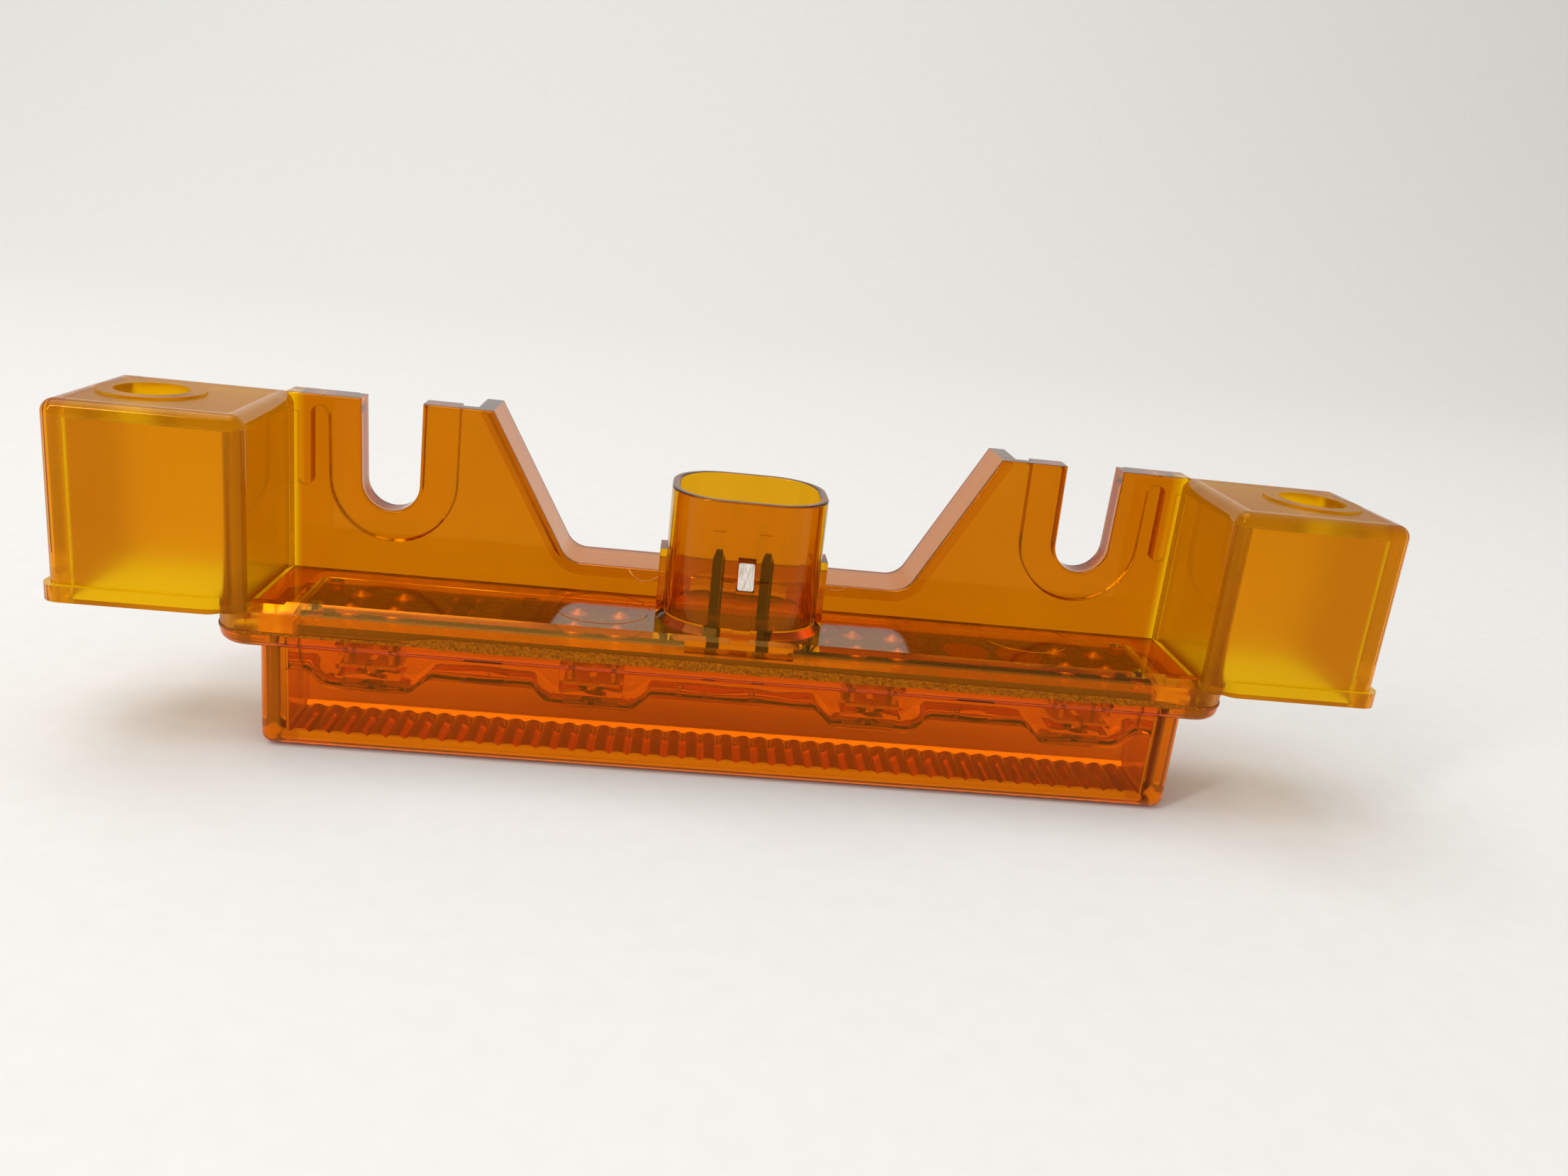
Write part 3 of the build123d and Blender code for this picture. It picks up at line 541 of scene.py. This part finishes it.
def make_solder_joints():
    """Soldered LED joints: a wetted cone that sweeps up to the lead's clipped end."""
    half = lead_half_pitch
    spots = [Vector((x + dx, dy, 0)) for x in led_xs for dx in (-half, half) for dy in (-half, half)]
    foot = spots[0] + Vector((0, 0, board_high.z + 0.09 * MM))
    bpy.ops.object.select_all(action="DESELECT")
    bpy.ops.mesh.primitive_cylinder_add(vertices=28, radius=0.98 * MM, depth=0.14 * MM, location=foot)
    joint = bpy.context.object
    bpy.ops.object.transform_apply(location=True, rotation=True, scale=True)
    choose(joint, "FACE", lambda place, normal: normal.z > 0.9)
    for share, rise in ((0.78, 0.16), (0.6, 0.2), (0.75, 0.14), (0.6, 0.03)):
        bpy.ops.mesh.extrude_region_move(TRANSFORM_OT_translate={"value": (0, 0, rise * MM)})
        bpy.ops.transform.resize(value=(share, share, 1), center_override=foot)
    joints = [joint]
    for spot in spots[1:]:
        pick(joint)
        bpy.ops.object.duplicate()
        joints.append(bpy.context.object)
        bpy.ops.transform.translate(value=spot - spots[0])
    for other in joints:
        other.select_set(True)
    bpy.context.view_layer.objects.active = joint
    bpy.ops.object.join()
    # Painted glint: the joints are coloured bright yellow-gold, paler and yellower than the terminal solder,
    # standing in for highlights of the lamps.
    done(joint, "led_joint_domes", solid("solder_painted_glint", "FFD060", "FFF0A8", 0.3, 0.5, 0.5))
    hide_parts("led_solder_joints")


# ---- moulding hairs, a painted reflection and a glowing line ----
def make_mould_hairs():
    """Hairs of flash, thin as thread, left curling off the notch's edge beside the shroud."""
    material = solid("amber_flash_hair", "E07A20", "FFB060", 0.25, 0.4)
    edge_z = 20.5 * MM
    hairs = {
        "left": ((-14.2, 10.2, 0.0), (-13.6, 9.6, -0.9), (-12.6, 9.2, -1.5), (-11.2, 9.3, -1.3),
                 (-10.2, 9.8, -0.5)),
        "left_short": ((-14.0, 10.2, 0.1), (-13.8, 9.8, -0.7), (-13.0, 9.6, -1.2), (-12.2, 9.6, -1.5)),
        "right": ((11.0, 10.2, 0.0), (11.8, 9.7, -0.5), (13.0, 9.5, -0.7), (13.9, 9.7, 0.1)),
    }
    for name, points in hairs.items():
        bpy.ops.object.select_all(action="DESELECT")
        bpy.ops.curve.primitive_nurbs_path_add(radius=1, location=(0, 0, 0))
        piece = bpy.context.object
        spline = piece.data.splines[0]
        while len(spline.points) < len(points):
            spline.points.add(1)
        for point, (x, y, z) in zip(spline.points, points):
            point.co = (x * MM, y * MM, edge_z + z * MM, 1)
        for point in list(spline.points)[len(points):]:
            point.co = spline.points[len(points) - 1].co
        piece.data.bevel_depth = 0.05 * MM
        piece.data.bevel_resolution = 2
        piece.data.use_fill_caps = True
        bpy.ops.object.convert(target="MESH")
        done(bpy.context.object, f"mould_hair_{name}", material)


def make_latch_painted_reflection():
    """The latch ramp's face as a thin skin, streaked and frosted, coloured white as a painted reflection of
    the bright light that the steep ramp mirrors.
    """
    material, tree, place = new_material("latch_white_painted_reflection")
    stroke = add(tree, "Mapping", None, Vector=place, Scale=(9, 1, 1)).outputs[0]
    line = add(tree, "TexNoise", Vector=stroke, Scale=per_mm(1.2), Detail=6.0, Roughness=0.75).outputs["Fac"]
    normal = add(tree, "Bump", None, Height=line, Strength=0.5, Distance=0.04 * MM).outputs[0]
    # Painted reflection: the white colour stands in for the bright light that the ramp mirrors; the streaked
    # bump and the roughness are the surface's own frosted texture.
    streaks = blend(tree, step(tree, line, 0.35, 0.65), "B8A08C", "FFFBF2")
    shader = add(tree, "BsdfPrincipled", None, Base_Color=streaks, Roughness=0.4, IOR=1.585, Normal=normal)
    finish_material(tree, shader)
    foot, head = Vector((0, -6.6, 23.9)) * MM, Vector((0, -4.8, 27.5)) * MM
    run = head - foot
    lean = math.atan2(run.y, run.z)
    outward = Vector((0, -math.cos(lean), math.sin(lean)))
    centre = foot + run * 0.44 + outward * 0.03 * MM
    bpy.ops.object.select_all(action="DESELECT")
    bpy.ops.mesh.primitive_cube_add(size=1, location=centre, rotation=(-lean, 0, 0),
                                    scale=(1.86 * MM, 0.03 * MM, run.length * 0.8))
    piece = bpy.context.object
    bpy.ops.object.transform_apply(location=True, rotation=True, scale=True)
    choose(piece, "EDGE", lambda place, way: abs(way.y) > 0.5)
    bpy.ops.mesh.bevel(offset=0.25 * MM, segments=3)
    done(piece, "latch_painted_reflection_face", material)


def make_floor_line():
    """Small bead in the gutter where the lens's floor meets its rear wall: a bright yellow line.
    It has a little light of its own, standing in for light that the plastic pipes to this edge."""
    material, tree, place = new_material("amber_polycarbonate_bright_edge")
    crumb = add(tree, "TexNoise", Vector=place, Scale=per_mm(0.6), Detail=4.0).outputs["Fac"]
    normal = add(tree, "Bump", None, Height=crumb, Strength=0.4, Distance=0.05 * MM).outputs[0]
    tint = blend(tree, crumb, "FFE890", "FFFCD0")
    shader = add(tree, "BsdfPrincipled", None, Base_Color=tint, Roughness=0.3, IOR=1.585,
                 Emission_Color=colour("FFB800"), Emission_Strength=1.0, Normal=normal)
    finish_material(tree, shader)
    rear = potting_high.y
    reach = potting_high.x - 0.2 * MM
    piece = start_box(Vector((-reach, rear - 0.55 * MM, lens_floor + 0.02 * MM)),
                      Vector((reach, rear - 0.02 * MM, lens_floor + 0.66 * MM)))
    choose(piece, "EDGE", lambda place, way: abs(way.x) > 0.9 and place.y < rear - 0.2 * MM)
    bpy.ops.mesh.bevel(offset=0.3 * MM, segments=5)
    done(piece, "lens_floor_bead", material)


# ---- studio ----
def make_camera():
    data = bpy.data.cameras.new("camera")
    data.lens = 28.83
    data.sensor_width = 36.0
    data.clip_start = 0.01
    camera = bpy.data.objects.new("camera", data)
    camera.location = Vector((-8.27, -144.73, 66.94)) * MM
    camera.rotation_euler = Euler([math.radians(angle) for angle in (73.015, -6.195, -3.364)])
    bpy.context.scene.collection.objects.link(camera)
    bpy.context.scene.camera = camera


def soft_light(name, place, size, power, tint="FFFFFF"):
    data = bpy.data.lights.new(name, "AREA")
    data.shape = "RECTANGLE"
    data.size, data.size_y = size
    data.energy = power
    data.color = colour(tint)[:3]
    light = bpy.data.objects.new(name, data)
    light.location = Vector(place)
    aim = Vector((0, 0, 0.02)) - light.location
    light.rotation_euler = aim.to_track_quat("-Z", "Y").to_euler()
    bpy.context.scene.collection.objects.link(light)


def make_sweep():
    """Floor that runs back and curves up into a wall, in plain pale paper."""
    bpy.ops.object.select_all(action="DESELECT")
    bpy.ops.mesh.primitive_plane_add(size=1, location=(0, -0.2, -0.0002))
    sweep = bpy.context.object
    bpy.ops.transform.resize(value=(4, 2.6, 1))
    bpy.ops.object.transform_apply(location=True, rotation=True, scale=True)
    choose(sweep, "EDGE", lambda place, way: place.y > 1.0)
    bpy.ops.mesh.extrude_region_move(TRANSFORM_OT_translate={"value": (0, 0, 1.8)})
    choose(sweep, "EDGE", lambda place, way: place.y > 1.0 and abs(place.z) < 0.01)
    bpy.ops.mesh.bevel(offset=0.6, segments=24)
    bpy.ops.object.mode_set(mode="OBJECT")
    bpy.ops.object.shade_smooth()
    sweep.name = "paper_sweep"
    material, tree, place = new_material("pale_paper")
    fibre = add(tree, "TexNoise", Vector=place, Scale=300.0).outputs["Fac"]
    white = blend(tree, fibre, "EBEAE7", "F1F0EE")
    shader = add(tree, "BsdfPrincipled", None, Base_Color=white, Roughness=0.9)
    finish_material(tree, shader)
    sweep.data.materials.append(material)


def make_studio():
    make_sweep()
    world = bpy.data.worlds.new("pale_room")
    world.use_nodes = True
    background = world.node_tree.nodes["Background"]
    background.inputs[0].default_value = colour("F6F5F2")
    background.inputs[1].default_value = 0.6
    bpy.context.scene.world = world
    soft_light("overhead", (-0.3, 0.1, 1.25), (1.2, 1.0), 8.0)
    soft_light("left_strip", (-0.42, -0.38, 0.4), (0.08, 0.5), 1.2)
    scene = bpy.context.scene
    scene.view_settings.view_transform = "Standard"
    scene.cycles.max_bounces = 24
    scene.cycles.transmission_bounces = 24
    scene.cycles.glossy_bounces = 8
    scene.cycles.diffuse_bounces = 3


make_camera()
dress_nodes()
make_led_packages()
make_compound()
make_bubbles()
flash = flash_material()
make_weld_ring(flash)
make_weld_smear(flash)
make_board_legend()
make_pads()
make_solder_joints()
make_mould_hairs()
make_latch_painted_reflection()
make_floor_line()
make_studio()
